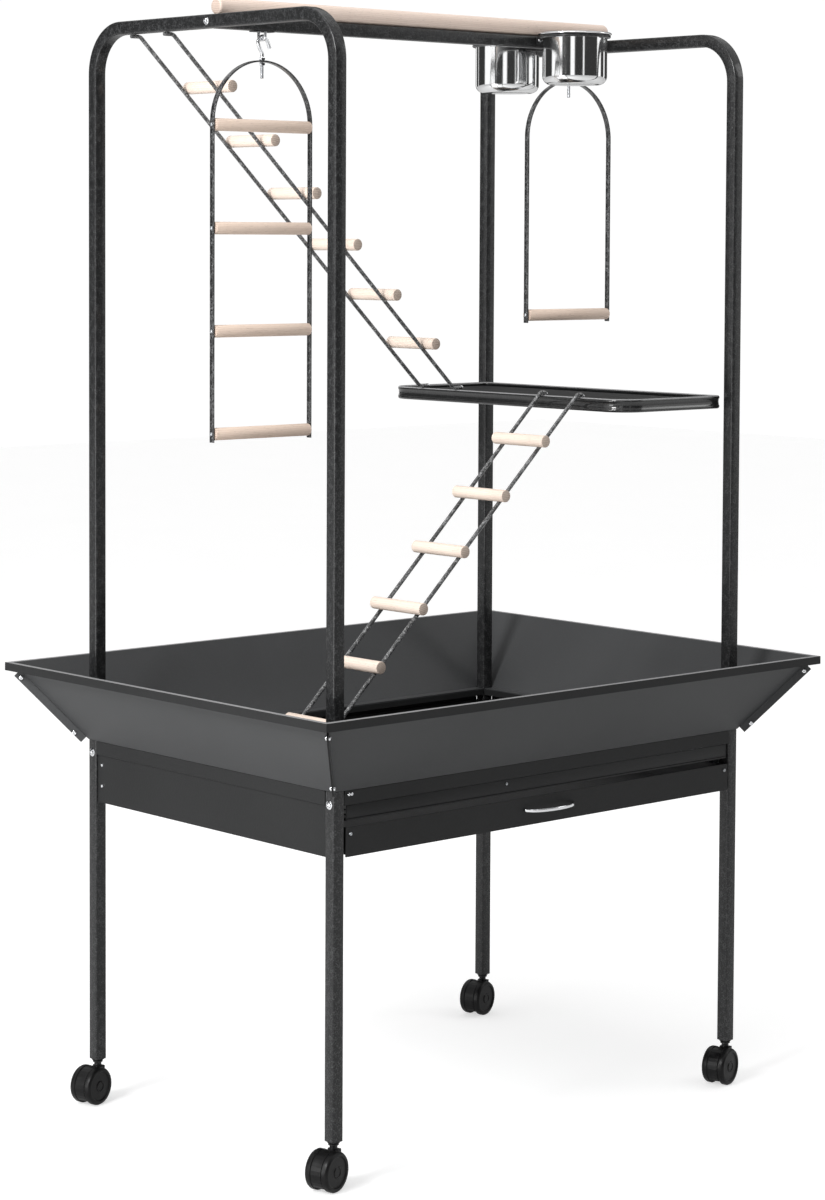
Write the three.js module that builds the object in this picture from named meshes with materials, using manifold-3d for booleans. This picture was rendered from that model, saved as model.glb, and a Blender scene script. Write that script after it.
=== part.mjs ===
// Open play stand for parrots: two square-tube arches over a flared seed skirt, a base with a slide-out
// grate and tray, a platform, two fixed-pitch ladders, a hanging ladder, a swing, two bowls, four casters.
// +X runs along the long side, the drawer faces -Y, +Z is up, and the origin is on the floor.

import * as THREE from 'three';
import { mergeVertices } from 'three/addons/utils/BufferGeometryUtils.js';
import Module from 'manifold-3d';

const wasm = await Module();
wasm.setup();

// ---- Driving dimensions, in millimetres ------------------------------------------------------------

const GAP = 0.3;               // clearance left between pieces that touch
const POST_X = 398;            // post centres, left and right of the middle
const POST_Y = 274.5;          // post centres, in front of and behind the middle
const TUBE = 19;               // side of the square tube
const TUBE_WALL = 1.4;
const TUBE_EDGE = 2;           // corner rounding of the tube
const SHEET = 1.5;             // folded sheet steel of the base

const LEG_FOOT = 65;           // underside of the legs
const LEG_PLUG = 30;           // plastic socket in the foot of each leg
const BASE_FLOOR = 457;        // lower edge of the aprons and the drawer
const BASE_TOP = 549;          // top of the base, where the arches and the skirt stand
const RAIL_HEIGHT = 20;
const PANEL_RECESS = 3;        // how far the apron panels lie behind their rails

const ARCH_Z = 1607;           // centre height of the arches' top bars
const ARCH_BEND = 65;

const SKIRT_FLARE = 89.5;      // how far the skirt leans out past the base
const SKIRT_TOP = 664;
const SKIRT_SHEET = 1.2;
const HEM_HEIGHT = 12;
const HEM_WIDTH = 7.5;
const SEAM_WIDTH = 11;         // standing seam bolted at each skirt corner

const PERCH_RADIUS = 12;
const PERCH_HALF = 391;

const PLATFORM_TOP = 1064;
const PLATFORM_LEFT = 170;
const PLATFORM_HALF = 264.7;
const PLATFORM_RIM = 20;
const PLATFORM_RIM_WIDTH = 5;
const PLATFORM_DISH = 6;       // how far the sheet lies below the rim

const LADDER_SLOPE = THREE.MathUtils.degToRad(43.6);
const RUNG_PITCH = 111.5;
const RUNG_COUNT = 6;
const RUNG_RADIUS = 9;
const LADDER_RUNG_HALF = 54;
const WIRE_RADIUS = 3;
const WIRE_SPREAD = 39.5;      // ladder wires, either side of the ladder's middle
const WIRE_DROP = (RUNG_RADIUS + WIRE_RADIUS + GAP) / Math.cos(LADDER_SLOPE); // wires run under rungs
const WIRE_SHIFT = 7;          // how far the wires stand behind the rungs' middle
const UPPER_LADDER = { y: 135, topX: -295, topZ: 1522.5, down: 1 };  // comes down towards +X
const LOWER_LADDER = { y: -139, topX: 80, topZ: 1002, down: -1 };  // comes down towards -X

const STRAP_WIDTH = 9;         // flat bar of the hanging ladder and the swing
const STRAP_THICK = 2.5;
const STRAP_SPREAD = 90;       // from the hanging piece's middle to the centre of its side bars
const HANGING_LADDER = { x: -306, top: 1556, rungs: [1462, 1315.3, 1168.6, 1022] };
const SWING = { x: 314, top: 1550, rungs: [1183] };
const EYE_WIRE = 2;
const HOOK_WIRE = 2.5;

const BOWL_X = 252;
const BOWL_Y = 75;
const BOWL_RADIUS = 50;
const BOWL_LIP = 57;
const BOWL_HEIGHT = 80;
const BOWL_TOP = { front: 1619, rear: 1611 };
const BOWL_WALL = 1.2;
const RING_WIRE = 2.2;

const TRAY_HALF = 381;
const TRAY_BACK = 258;
const DRAWER_TOP = 498;
const GRATE_FLOOR = 506.8;
const GRATE_BAR = 4;
const GRATE_BARS = 30;

const WHEEL_RADIUS = 28;
const CASTER_WIDTH = 38;
const HOOD_WIDTH = 17;
const CASTER_TRAIL = 16;
const CASTER_TURN = THREE.MathUtils.degToRad(-165.2); // heading of the trail, from +X
const STEM_RADIUS = 5.5;

// ---- Values that follow from them ------------------------------------------------------------------

const HALF = TUBE / 2;
const OUTER_X = POST_X + HALF;
const OUTER_Y = POST_Y + HALF;
const INNER_X = POST_X - HALF;
const BAR_UNDER = ARCH_Z - HALF;
const BAR_TOP = ARCH_Z + HALF;

// ---- Finishes --------------------------------------------------------------------------------------

const finish = (color, roughness, metalness) => () =>
  new THREE.MeshStandardMaterial({ color, roughness, metalness });
const hammered = finish(0x2b2c2d, 0.45, 0.4);
const coatedSheet = finish(0x3c3d3f, 0.5, 0.2);
const wood = finish(0xd8b99c, 0.65, 0);
const stainless = finish(0xd0d2d4, 0.12, 1);
const chrome = finish(0xdfe1e3, 0.08, 1);
const zinc = finish(0xa9acb0, 0.3, 0.9);
const plastic = finish(0x1b1b1d, 0.55, 0);

// ---- Joining and cutting ---------------------------------------------------------------------------

function toSolid(geometry) {
  const bare = geometry.clone();
  bare.deleteAttribute('normal');
  bare.deleteAttribute('uv');
  const merged = mergeVertices(bare, 1e-4);
  return new wasm.Manifold(new wasm.Mesh({
    numProp: 3,
    vertProperties: new Float32Array(merged.attributes.position.array),
    triVerts: new Uint32Array(merged.index.array),
  }));
}

function toGeometry(solid) {
  const mesh = solid.getMesh();
  const geometry = new THREE.BufferGeometry();
  geometry.setAttribute('position', new THREE.BufferAttribute(mesh.vertProperties, 3));
  geometry.setIndex(new THREE.BufferAttribute(mesh.triVerts, 1));
  geometry.computeVertexNormals();
  return geometry;
}

function join(...geometries) {
  return toGeometry(geometries.map(toSolid).reduce((whole, solid) => whole.add(solid)));
}

function cut(geometry, ...tools) {
  return toGeometry(tools.map(toSolid).reduce((whole, tool) => whole.subtract(tool), toSolid(geometry)));
}

// ---- Basic shapes ----------------------------------------------------------------------------------

// A block between two opposite corners.
function block(low, high) {
  const size = high.map((value, axis) => value - low[axis]);
  const geometry = new THREE.BoxGeometry(...size);
  return geometry.translate(...low.map((value, axis) => value + size[axis] / 2));
}

// A round bar centred on the origin, along x, y or z.
function bar(radius, length, axis, sides) {
  const geometry = new THREE.CylinderGeometry(radius, radius, length, sides);
  if (axis === 'x') geometry.rotateZ(Math.PI / 2);
  if (axis === 'z') geometry.rotateX(Math.PI / 2);
  return geometry;
}

// A turned piece: the profile is [radius, height] from the bottom up, around +Z.
function turned(profile, sides) {
  const points = profile.map(([radius, height]) => new THREE.Vector2(radius, height));
  return new THREE.LatheGeometry(points, sides).rotateX(Math.PI / 2);
}

function outline(points) {
  return new THREE.Shape(points.map(([x, y]) => new THREE.Vector2(x, y)));
}

function chamferedSquare(side, edge) {
  const half = side / 2;
  const short = half - edge;
  return [
    [half, -short], [half, short], [short, half], [-short, half],
    [-half, short], [-half, -short], [-short, -half], [short, -half],
  ];
}

function squareTubeSection() {
  const section = outline(chamferedSquare(TUBE, TUBE_EDGE));
  const bore = HALF - TUBE_WALL;
  section.holes.push(new THREE.Path([[-bore, -bore], [-bore, bore], [bore, bore], [bore, -bore]]
    .map(([x, y]) => new THREE.Vector2(x, y))));
  return section;
}

function discSection(radius, sides) {
  const points = [];
  for (let i = 0; i < sides; i += 1) {
    const angle = (i + 0.5) / sides * 2 * Math.PI;
    points.push([radius * Math.cos(angle), radius * Math.sin(angle)]);
  }
  return outline(points);
}

// Points round part of a circle, from one angle to another in degrees.
function arcPoints(x, y, radius, from, to, steps) {
  const points = [];
  for (let i = 0; i <= steps; i += 1) {
    const angle = THREE.MathUtils.degToRad(from + (to - from) * i / steps);
    points.push([x + radius * Math.cos(angle), y + radius * Math.sin(angle)]);
  }
  return points;
}

function rectangleSection(width, height) {
  const x = width / 2;
  const y = height / 2;
  return outline([[-x, -y], [x, -y], [x, y], [-x, y]]);
}

function raise(section, height) {
  return new THREE.ExtrudeGeometry(section, { depth: height, bevelEnabled: false, curveSegments: 5 });
}

// Straight runs between corner points, with a round bend at each corner. Its stations are the ends of
// the runs and even steps round the bends, so that a bent bar needs no extra rings on its straights.
class BentPath extends THREE.Curve {
  constructor(corners, radius, bendSteps) {
    super();
    const points = corners.map((corner) => new THREE.Vector3(...corner));
    const heading = (i) => points[i + 1].clone().sub(points[i]).normalize();
    this.stations = [{ point: points[0], tangent: heading(0) }];
    for (let i = 1; i < points.length - 1; i += 1) {
      this.addBend(points[i], heading(i - 1), heading(i), radius, bendSteps);
    }
    const last = points.length - 1;
    this.stations.push({ point: points[last], tangent: heading(last - 1) });
  }

  addBend(corner, before, after, radius, bendSteps) {
    const turn = before.angleTo(after);
    const axis = before.clone().cross(after).normalize();
    const start = corner.clone().addScaledVector(before, -radius * Math.tan(turn / 2));
    const inward = axis.clone().cross(before);
    const centre = start.clone().addScaledVector(inward, radius);
    for (let step = 0; step <= bendSteps; step += 1) {
      const angle = turn * step / bendSteps;
      const point = start.clone().sub(centre).applyAxisAngle(axis, angle).add(centre);
      this.stations.push({ point, tangent: before.clone().applyAxisAngle(axis, angle) });
    }
  }

  getUtoTmapping(u) {
    return u;
  }

  getPoint(t, target = new THREE.Vector3()) {
    return target.copy(this.stations[Math.round(t * (this.stations.length - 1))].point);
  }

  getTangent(t, target = new THREE.Vector3()) {
    return target.copy(this.stations[Math.round(t * (this.stations.length - 1))].tangent);
  }
}

function bend(section, corners, radius, bendSteps) {
  const path = new BentPath(corners, radius, bendSteps);
  const steps = path.stations.length - 1;
  return new THREE.ExtrudeGeometry(section, { steps, extrudePath: path, bevelEnabled: false });
}

function sweep(section, points, steps) {
  const path = new THREE.CatmullRomCurve3(points.map((point) => new THREE.Vector3(...point)));
  return new THREE.ExtrudeGeometry(section, { steps, extrudePath: path, bevelEnabled: false });
}

// ---- Pieces along the four sides of the base -------------------------------------------------------

// A side's own frame: x is the distance out from the base's outer face, y is the height, and z runs
// along the side. This turns it to face -Y, then round to its side of the base.
const SIDES = {
  front: { turn: 0, reach: OUTER_Y, half: OUTER_X },
  right: { turn: Math.PI / 2, reach: OUTER_X, half: OUTER_Y },
  rear: { turn: Math.PI, reach: OUTER_Y, half: OUTER_X },
  left: { turn: -Math.PI / 2, reach: OUTER_X, half: OUTER_Y },
};

function placeOnSide(geometry, side) {
  const facing = new THREE.Matrix4().makeBasis(
    new THREE.Vector3(0, -1, 0),
    new THREE.Vector3(0, 0, 1),
    new THREE.Vector3(-1, 0, 0),
  );
  return geometry.applyMatrix4(facing).translate(0, -side.reach, 0).rotateZ(side.turn);
}

function alongSide(profile, side, halfLength) {
  const geometry = raise(outline(profile), 2 * halfLength).translate(0, 0, -halfLength);
  return placeOnSide(geometry, side);
}

const betweenLegs = (side) => side.half - TUBE - GAP;

function apronProfile() {
  const inner = -PANEL_RECESS - SHEET;
  const railFloor = BASE_TOP - RAIL_HEIGHT;
  return [
    [inner, BASE_FLOOR], [-PANEL_RECESS, BASE_FLOOR], [-PANEL_RECESS, railFloor], [0, railFloor],
    [0, BASE_TOP], [-TUBE, BASE_TOP], [-TUBE, BASE_TOP - TUBE / 2],
    [SHEET - TUBE, BASE_TOP - TUBE / 2], [SHEET - TUBE, BASE_TOP - SHEET],
    [-SHEET, BASE_TOP - SHEET], [-SHEET, railFloor + SHEET], [inner, railFloor + SHEET],
  ];
}

function frontRailProfile() {
  const railFloor = BASE_TOP - RAIL_HEIGHT;
  const lip = -8;
  return [
    [lip, railFloor], [0, railFloor], [0, BASE_TOP], [-TUBE, BASE_TOP],
    [-TUBE, BASE_TOP - TUBE / 2], [SHEET - TUBE, BASE_TOP - TUBE / 2],
    [SHEET - TUBE, BASE_TOP - SHEET], [-SHEET, BASE_TOP - SHEET],
    [-SHEET, railFloor + SHEET], [lip, railFloor + SHEET],
  ];
}

// Two ledges on one web: the tray slides on the lower one and the grate on the upper one.
const TRAY_LEDGE = BASE_FLOOR + 0.5;
const GRATE_LEDGE = GRATE_FLOOR - GAP;
function runnerProfile() {
  const back = -PANEL_RECESS - SHEET - GAP;
  const web = back - SHEET;
  const edge = back - 31;
  const top = GRATE_LEDGE + 6;
  return [
    [edge, TRAY_LEDGE], [back, TRAY_LEDGE], [back, top], [web, top], [web, GRATE_LEDGE],
    [edge, GRATE_LEDGE], [edge, GRATE_LEDGE - SHEET], [web, GRATE_LEDGE - SHEET],
    [web, TRAY_LEDGE + SHEET], [edge, TRAY_LEDGE + SHEET],
  ];
}

// A flared panel with a ledge on the base, a hem folded out and down along its top, mitred ends, and a
// standing seam flange at each end.
function skirtPanel(side) {
  const floor = BASE_TOP + GAP;
  const t = SKIRT_SHEET;
  const hemStart = SKIRT_FLARE - HEM_WIDTH;
  const hemFoot = SKIRT_TOP - HEM_HEIGHT;
  const lean = hemStart / (SKIRT_TOP - t - floor);
  const inward = lean * t - t * Math.hypot(1, lean);
  const ledge = 1 - TUBE;
  const panel = raise(outline([
    [ledge, floor], [0, floor], [hemStart, SKIRT_TOP - t], [SKIRT_FLARE - t, SKIRT_TOP - t],
    [SKIRT_FLARE - t, hemFoot], [SKIRT_FLARE, hemFoot], [SKIRT_FLARE, SKIRT_TOP],
    [hemStart + inward, SKIRT_TOP], [inward, floor + t], [ledge, floor + t],
  ]), 2).translate(0, 0, -1);
  const place = panel.attributes.position;
  for (let i = 0; i < place.count; i += 1) {
    place.setZ(i, Math.sign(place.getZ(i)) * (side.half + place.getX(i) - GAP / 2));
  }
  const seams = [1, -1].map((end) => seamFlange(side, end, floor, hemStart, SKIRT_TOP - t));
  const postClear = HALF + GAP;
  const notch = (end) => block(
    [-2 * HALF - GAP, floor - 1, end * (side.half - HALF) - postClear],
    [GAP, floor + 3, end * (side.half - HALF) + postClear],
  );
  const whole = cut(join(panel, ...seams), notch(1), notch(-1));
  return placeOnSide(whole, side);
}

// A strip in the diagonal plane of a skirt corner, square to the corner's edge.
function seamFlange(side, end, floor, hemStart, top) {
  const run = Math.SQRT2 * hemStart;
  const rise = top - floor;
  const edge = new THREE.Vector2(run, rise);
  const length = edge.length();
  edge.normalize();
  const out = new THREE.Vector2(edge.y, -edge.x);
  const corner = (distance, width) => [
    edge.x * distance + out.x * width,
    floor + edge.y * distance + out.y * width,
  ];
  const root = -0.5;
  const low = 5;
  const high = length - 16;
  const strip = outline([
    corner(low, root), corner(low, SEAM_WIDTH), corner(high, SEAM_WIDTH), corner(high, root),
  ]);
  const start = end > 0 ? -SKIRT_SHEET - GAP / 2 : GAP / 2;
  const flange = raise(strip, SKIRT_SHEET).translate(0, 0, start);
  flange.applyMatrix4(new THREE.Matrix4().makeBasis(
    new THREE.Vector3(Math.SQRT1_2, 0, end * Math.SQRT1_2),
    new THREE.Vector3(0, 1, 0),
    new THREE.Vector3(-end * Math.SQRT1_2, 0, Math.SQRT1_2),
  ));
  return flange.translate(0, 0, end * side.half);
}

// ---- Frame -----------------------------------------------------------------------------------------

function archFrame(x) {
  const foot = BASE_TOP + GAP;
  const corners = [[x, -POST_Y, foot], [x, -POST_Y, ARCH_Z], [x, POST_Y, ARCH_Z], [x, POST_Y, foot]];
  return bend(squareTubeSection(), corners, ARCH_BEND, 6);
}

function leg() {
  const socket = outline(chamferedSquare(TUBE, TUBE_EDGE));
  const bore = new THREE.Path();
  bore.absarc(0, 0, STEM_RADIUS + GAP, 0, 2 * Math.PI, true);
  socket.holes.push(bore);
  const tube = raise(squareTubeSection(), BASE_TOP - LEG_FOOT - LEG_PLUG).translate(0, 0, LEG_PLUG);
  return join(raise(socket, LEG_PLUG), tube);
}

// The top bar between the arches, with a welded strap and staple for each hanging piece.
function crossbar() {
  const half = INNER_X - GAP;
  const tube = raise(squareTubeSection(), 2 * half).translate(0, 0, -half).rotateY(Math.PI / 2)
    .translate(0, 0, ARCH_Z);
  return join(tube, ...[HANGING_LADDER.x, SWING.x].flatMap(eyeAt));
}

const EYE_DROP = 12.5;          // centre of the staple's lower wire, below the bar
function eyeAt(x) {
  const strap = block([x - 18, -7, BAR_UNDER - 1.5], [x + 18, 7, BAR_UNDER + 0.2]);
  const top = BAR_UNDER - 0.5;
  const low = BAR_UNDER - EYE_DROP;
  const half = 7.5;
  const staple = bend(discSection(EYE_WIRE, 6),
    [[x, -half, top], [x, -half, low], [x, half, low], [x, half, top]], 5, 3);
  return [strap, staple];
}

function topPerch() {
  const r = PERCH_RADIUS;
  const profile = [
    [0, -PERCH_HALF], [r - 2.5, -PERCH_HALF], [r, 3 - PERCH_HALF],
    [r, PERCH_HALF - 3], [r - 2.5, PERCH_HALF], [0, PERCH_HALF],
  ];
  return turned(profile, 20).rotateY(Math.PI / 2);
}

// ---- Platform --------------------------------------------------------------------------------------

function roundedPlan(left, right, half, cornerLeft, cornerRight) {
  const plan = new THREE.Shape();
  plan.moveTo(left + cornerLeft, -half);
  plan.lineTo(right - cornerRight, -half);
  plan.absarc(right - cornerRight, cornerRight - half, cornerRight, -Math.PI / 2, 0, false);
  plan.absarc(right - cornerRight, half - cornerRight, cornerRight, 0, Math.PI / 2, false);
  plan.absarc(left + cornerLeft, half - cornerLeft, cornerLeft, Math.PI / 2, Math.PI, false);
  plan.absarc(left + cornerLeft, cornerLeft - half, cornerLeft, Math.PI, 1.5 * Math.PI, false);
  return plan;
}

function platform() {
  const right = INNER_X - GAP;
  const wide = PLATFORM_RIM_WIDTH;
  const rim = roundedPlan(PLATFORM_LEFT, right, PLATFORM_HALF, 42, 12);
  rim.holes.push(roundedPlan(PLATFORM_LEFT + wide, right - wide, PLATFORM_HALF - wide, 37, 7));
  const inset = wide / 2;
  const sheet = roundedPlan(PLATFORM_LEFT + inset, right - inset, PLATFORM_HALF - inset, 39.5, 9.5);
  const rimFoot = PLATFORM_TOP - PLATFORM_RIM;
  const tab = (end) => block(
    [right - 18, Math.min(end * PLATFORM_HALF, end * (PLATFORM_HALF - 2)), rimFoot],
    [POST_X, Math.max(end * PLATFORM_HALF, end * (PLATFORM_HALF - 2)), PLATFORM_TOP],
  );
  return join(
    raise(rim, PLATFORM_RIM).translate(0, 0, rimFoot),
    raise(sheet, 2).translate(0, 0, PLATFORM_TOP - PLATFORM_DISH - 2),
    tab(1),
    tab(-1),
  );
}

// ---- Ladders ---------------------------------------------------------------------------------------

// The wires' line: its height at an x, and its x at a height.
const heightOn = ({ topX, topZ, down }, x) =>
  topZ - WIRE_DROP - down * Math.tan(LADDER_SLOPE) * (x - topX);
const crossingOf = ({ topX, topZ, down }, z) =>
  topX + down * (topZ - WIRE_DROP - z) / Math.tan(LADDER_SLOPE);

// Bent flat under the left arch's bar at its top, and flat on the platform's rim at its foot.
function upperWire(y) {
  const high = BAR_UNDER - WIRE_RADIUS - GAP;
  const low = PLATFORM_TOP + WIRE_RADIUS + GAP;
  const corners = [
    [-POST_X - 6, y, high], [crossingOf(UPPER_LADDER, high), y, high],
    [crossingOf(UPPER_LADDER, low), y, low], [PLATFORM_LEFT + 12, y, low],
  ];
  return bend(discSection(WIRE_RADIUS, 8), corners, 9, 3);
}

// Leans inside the left rail of the base and hooks over the platform's rim, round the ladder's pivot.
const HOOK_PIVOT = { x: PLATFORM_LEFT + PLATFORM_RIM_WIDTH / 2, z: PLATFORM_TOP - 2 };
function lowerWire(y) {
  const reach = WIRE_RADIUS + Math.hypot(PLATFORM_RIM_WIDTH / 2, 2) + GAP;
  const high = HOOK_PIVOT.z + reach;
  const foot = 3.6 - INNER_X;
  const tip = THREE.MathUtils.degToRad(35);
  const shoulder = HOOK_PIVOT.x + reach * Math.tan((Math.PI / 2 - tip) / 2);
  const corners = [
    [foot, y, heightOn(LOWER_LADDER, foot)], [crossingOf(LOWER_LADDER, high), y, high],
    [shoulder, y, high],
    [HOOK_PIVOT.x + reach * Math.cos(tip), y, HOOK_PIVOT.z + reach * Math.sin(tip)],
  ];
  return bend(discSection(WIRE_RADIUS, 8), corners, 5.5, 3);
}

// ---- Hanging ladder and swing ----------------------------------------------------------------------

// A flat bar bent to a round top, drilled for the hook's stud. Its middle is at x = 0.
function hangingArch({ top, rungs }) {
  const foot = rungs[rungs.length - 1] - RUNG_RADIUS - 3;
  const crown = top - STRAP_THICK / 2;
  const corners = [
    [-STRAP_SPREAD, 0, foot], [-STRAP_SPREAD, 0, crown], [STRAP_SPREAD, 0, crown],
    [STRAP_SPREAD, 0, foot],
  ];
  const strap = bend(rectangleSection(STRAP_WIDTH, STRAP_THICK), corners, STRAP_SPREAD - 0.01, 8);
  return cut(strap, bar(HOOK_WIRE + 0.7, 20, 'z', 8).translate(0, 0, crown));
}

function plainRung() {
  return bar(RUNG_RADIUS, 2 * (STRAP_SPREAD - STRAP_THICK / 2 - 3 * GAP), 'x', 14);
}

// An open hook that runs down into a threaded stud, with a nut each side of the arch.
function hangingHook({ top }) {
  const crest = BAR_UNDER - EYE_DROP + EYE_WIRE + HOOK_WIRE + 1.6;
  const hook = sweep(discSection(HOOK_WIRE, 6), [
    [14, 0, crest - 17], [9, 0, crest - 6], [1, 0, crest], [-7, 0, crest - 7],
    [-5, 0, crest - 16], [0, 0, crest - 25], [0, 0, top + 3], [0, 0, top - 26],
  ], 26);
  const nut = (z) => bar(4.6, 3.6, 'z', 6).translate(0, 0, z);
  return join(hook, nut(top + GAP + 1.8), nut(top - STRAP_THICK - 3 * GAP - 1.8));
}

// ---- Bowls -----------------------------------------------------------------------------------------

function bowl() {
  const r = BOWL_RADIUS;
  const t = BOWL_WALL;
  const foot = -BOWL_HEIGHT;
  return turned([
    [0, foot], [r - 12, foot], [r - 3.5, foot + 3.5], [r, foot + 12], [r, -4], [BOWL_LIP - 1, -4],
    [BOWL_LIP, -2], [BOWL_LIP - 1.5, 0], [r + 1, -1], [r - t, -4], [r - t, foot + 12],
    [r - 3.5 - t, foot + 3.5 + t], [r - 12, foot + t], [0, foot + t],
  ], 24);
}

// A wire ring under the bowl's lip, on a plate bolted to the side of the crossbar.
function bowlHolder(top) {
  const ringRadius = BOWL_RADIUS + GAP + RING_WIRE + 0.7;
  const ringZ = top - 4 - GAP - RING_WIRE;
  const ring = new THREE.TorusGeometry(ringRadius, RING_WIRE, 6, 28).translate(0, 0, ringZ);
  const face = BOWL_Y - HALF - GAP;
  const plate = block([-20, face - 2, ringZ - 10], [20, face, ringZ + RING_WIRE - 0.3]);
  const arm = block([-7, ringRadius - 1, ringZ - 1.5], [7, face - 1, ringZ + 1.5]);
  return join(ring, plate, arm);
}

// ---- Drawer, grate and handle ----------------------------------------------------------------------

function drawerTray() {
  const floor = TRAY_LEDGE + SHEET + GAP;
  const face = -OUTER_Y - GAP;
  const wall = 1.2;
  const pan = block([-TRAY_HALF, face + 1, floor], [TRAY_HALF, TRAY_BACK, DRAWER_TOP - 1]);
  const hollow = block(
    [wall - TRAY_HALF, face + SHEET, floor + wall],
    [TRAY_HALF - wall, TRAY_BACK - wall, DRAWER_TOP + 5],
  );
  const frontHalf = INNER_X - 2.5;
  const front = block([-frontHalf, face, BASE_FLOOR + 0.5], [frontHalf, face + SHEET, DRAWER_TOP]);
  return join(cut(pan, hollow), front);
}

function drawerHandle() {
  const half = 48;
  const root = -OUTER_Y - GAP - 1;
  const bow = [[half, 0], [half - 1, -4], [half - 9, -13], [half / 2, -19]];
  const mirrored = bow.map(([x, y]) => [-x, y]);
  const points = [...mirrored, [0, -22], ...bow.reverse()].map(([x, y]) => [x, root + y, 0]);
  return sweep(rectangleSection(6, 3.4), points, 22);
}

function grate() {
  const half = TRAY_HALF + 3;
  const front = -OUTER_Y + 1.5;
  const top = GRATE_FLOOR + GRATE_BAR;
  const border = 6;
  const crossBar = (y, width) => block([-half, y, GRATE_FLOOR], [half, y + width, top]);
  const lip = block([-half, front, GRATE_FLOOR], [half, front + SHEET, BASE_TOP - RAIL_HEIGHT - 0.6]);
  const bars = [];
  for (let i = 0; i <= GRATE_BARS; i += 1) {
    const x = (half - GRATE_BAR) * (2 * i / GRATE_BARS - 1);
    bars.push(block(
      [x - GRATE_BAR / 2, front + 3, GRATE_FLOOR + 0.5],
      [x + GRATE_BAR / 2, TRAY_BACK - 3, top - 0.5],
    ));
  }
  return join(crossBar(front, 3 * border), crossBar(TRAY_BACK - border, border), lip, ...bars);
}

// ---- Casters: local frame with the stem on the z axis and the wheels trailing towards +X -----------

function casterHood() {
  const reach = WHEEL_RADIUS - 0.6;
  const neck = STEM_RADIUS + 1;
  const plan = outline([
    ...arcPoints(CASTER_TRAIL, 0, reach, -48, 118, 14),
    [CASTER_TRAIL - 15, reach - 1], [-neck, reach - 1], [-neck, reach - 8],
    ...arcPoints(CASTER_TRAIL, 0, reach, 152, 212, 5),
  ]);
  const axleHole = new THREE.Path();
  axleHole.absarc(CASTER_TRAIL, 0, 3.4, 0, 2 * Math.PI, true);
  plan.holes.push(axleHole);
  const hood = raise(plan, HOOD_WIDTH).translate(0, 0, -HOOD_WIDTH / 2).rotateX(Math.PI / 2)
    .translate(0, 0, WHEEL_RADIUS);
  const stemTop = LEG_FOOT + LEG_PLUG - 2;
  const stemFoot = 2 * WHEEL_RADIUS - 14;
  const stem = bar(STEM_RADIUS, stemTop - stemFoot, 'z', 12).translate(0, 0, (stemTop + stemFoot) / 2);
  return join(hood, stem);
}

function wheelPair() {
  const r = WHEEL_RADIUS / Math.cos(Math.PI / 24);
  const face = CASTER_WIDTH / 2;
  const inner = HOOD_WIDTH / 2 + 0.4;
  const axle = 2.9;
  const profile = [
    [0, -face], [r - 3, -face], [r, 2.5 - face], [r, -inner], [axle, -inner],
    [axle, inner], [r, inner], [r, face - 2.5], [r - 3, face], [0, face],
  ];
  const wheels = new THREE.LatheGeometry(profile.map((point) => new THREE.Vector2(...point)), 24);
  return wheels.rotateY(Math.PI / 24);
}

// ---- Assembly --------------------------------------------------------------------------------------

const group = new THREE.Group();

function add(name, geometry, makeFinish, parent = group) {
  const mesh = new THREE.Mesh(geometry, makeFinish());
  mesh.name = name;
  parent.add(mesh);
  return mesh;
}

const ENDS = [['left', -1], ['right', 1]];
const DEPTHS = [['front', -1], ['rear', 1]];

for (const [end, sign] of ENDS) {
  add(`${end}_arch_frame`, archFrame(sign * POST_X), hammered);
}
add('top_crossbar', crossbar(), hammered);
add('top_perch', topPerch(), wood).position.set(0, 0, BAR_TOP + GAP + PERCH_RADIUS);

for (const [depth, y] of DEPTHS) {
  for (const [end, x] of ENDS) {
    add(`${depth}_${end}_leg`, leg(), hammered).position.set(x * POST_X, y * POST_Y, LEG_FOOT);
    const caster = new THREE.Group();
    caster.position.set(x * POST_X, y * POST_Y, 0);
    caster.rotation.z = CASTER_TURN;
    add(`${depth}_${end}_caster_hood`, casterHood(), plastic, caster);
    const wheels = add(`${depth}_${end}_caster_wheels`, wheelPair(), plastic, caster);
    wheels.position.set(CASTER_TRAIL, 0, WHEEL_RADIUS);
    group.add(caster);
  }
}

add('front_rail', alongSide(frontRailProfile(), SIDES.front, betweenLegs(SIDES.front)), coatedSheet);
for (const name of ['left', 'right', 'rear']) {
  const side = SIDES[name];
  add(`${name}_apron`, alongSide(apronProfile(), side, betweenLegs(side)), coatedSheet);
}
for (const [name, side] of Object.entries(SIDES)) {
  add(`${name}_skirt`, skirtPanel(side), coatedSheet);
}
for (const [end] of ENDS) {
  const side = SIDES[end];
  add(`${end}_runner`, alongSide(runnerProfile(), side, betweenLegs(side)), zinc);
}

add('drawer_tray', drawerTray(), coatedSheet);
add('drawer_handle', drawerHandle(), chrome).position.z = (BASE_FLOOR + DRAWER_TOP) / 2 + 3;
add('grate', grate(), hammered);
add('platform', platform(), coatedSheet);

function addLadder(name, ladder, makeWire) {
  for (const [side, y] of [['front', -1], ['rear', 1]]) {
    add(`${name}_${side}_wire`, makeWire(ladder.y + WIRE_SHIFT + y * WIRE_SPREAD), hammered);
  }
  const stepX = ladder.down * RUNG_PITCH * Math.cos(LADDER_SLOPE);
  for (let i = 0; i < RUNG_COUNT; i += 1) {
    const rung = add(`${name}_rung_${i + 1}`, bar(RUNG_RADIUS, 2 * LADDER_RUNG_HALF, 'y', 14), wood);
    const z = ladder.topZ - i * RUNG_PITCH * Math.sin(LADDER_SLOPE);
    rung.position.set(ladder.topX + i * stepX, ladder.y, z);
  }
}
addLadder('upper_ladder', UPPER_LADDER, upperWire);
addLadder('lower_ladder', LOWER_LADDER, lowerWire);

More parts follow.
